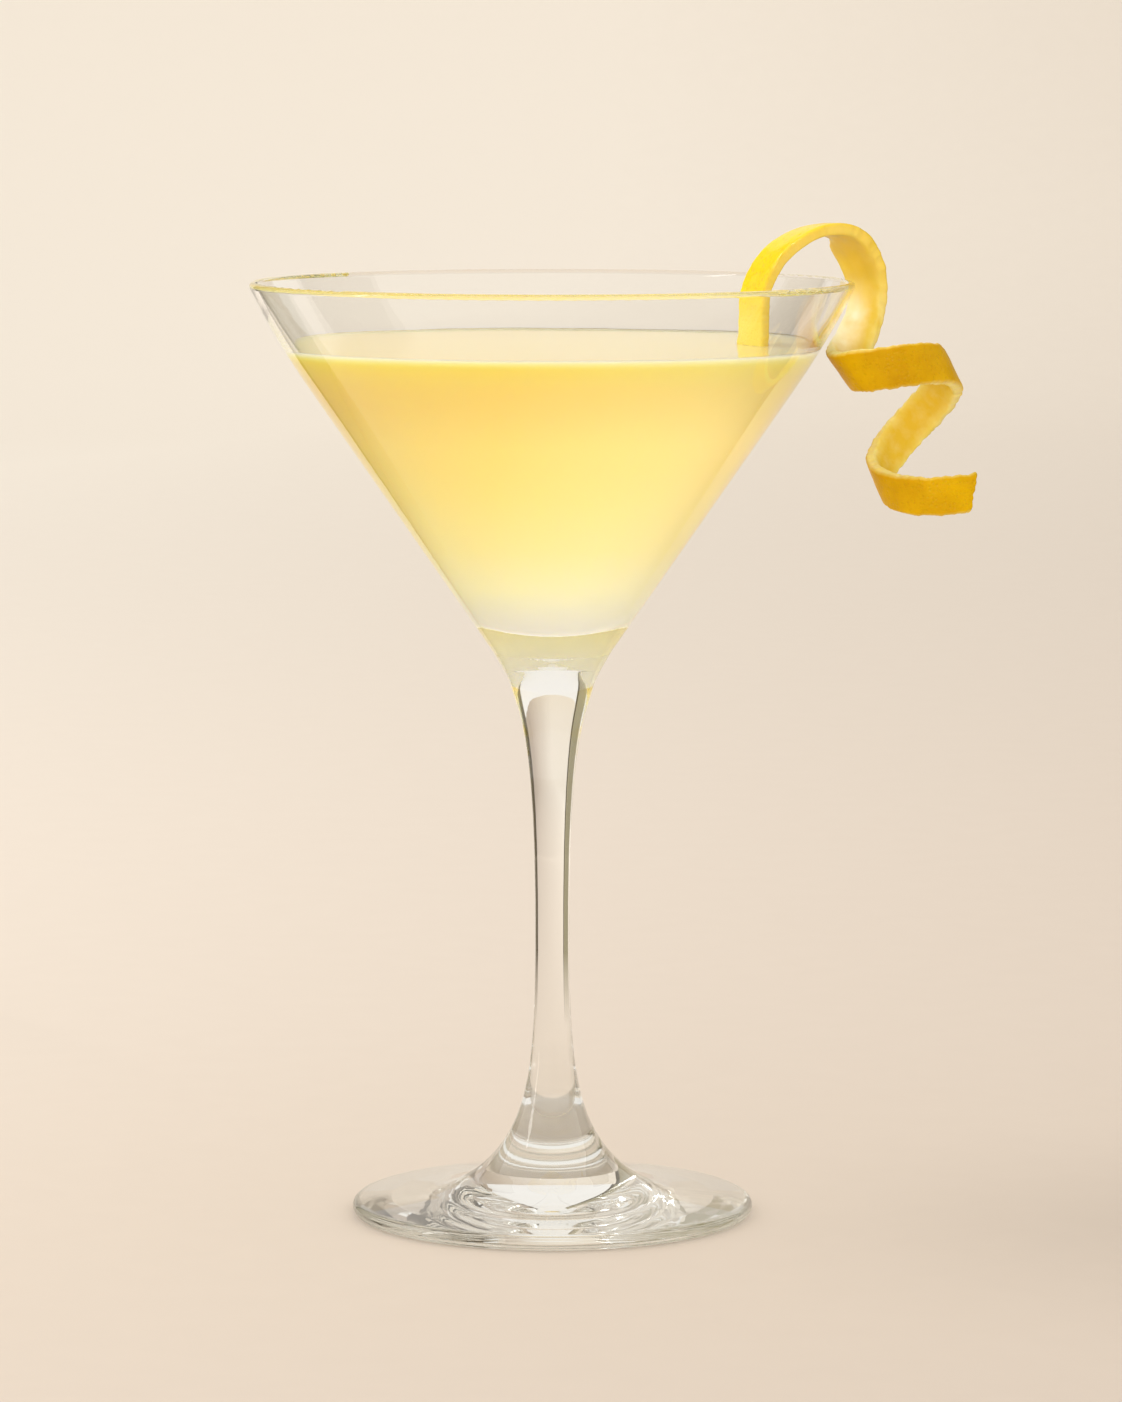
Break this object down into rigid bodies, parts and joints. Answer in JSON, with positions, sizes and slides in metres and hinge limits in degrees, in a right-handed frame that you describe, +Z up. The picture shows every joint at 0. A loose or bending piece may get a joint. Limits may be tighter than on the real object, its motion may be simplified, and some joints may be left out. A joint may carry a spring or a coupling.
{
  "type": "martini cocktail",
  "caption": "Stemmed V-shaped cocktail glass filled with a hazy pale yellow drink, with a curled strip of lemon peel hooked over the rim.",
  "frame": {"origin": "centre of the foot's underside, on the glass's axis, level with the surface it stands on", "axes": "+Z up along the stem, -Y towards the front, +X towards the peel that hangs on the rim"},
  "size_m": [0.1394, 0.116, 0.1923],
  "materials": {
    "clear_glass": "clear and polished, very faintly green where it is thick",
    "drink": "hazy pale yellow liquid with a still, level surface",
    "lemon_peel": "satin, pored yellow zest outside and pale, soft pith inside"
  },
  "bodies": {
    "root": {"glass": "clear_glass", "drink": "drink", "lemon_twist": "lemon_peel"}
  },
  "joints": []
}
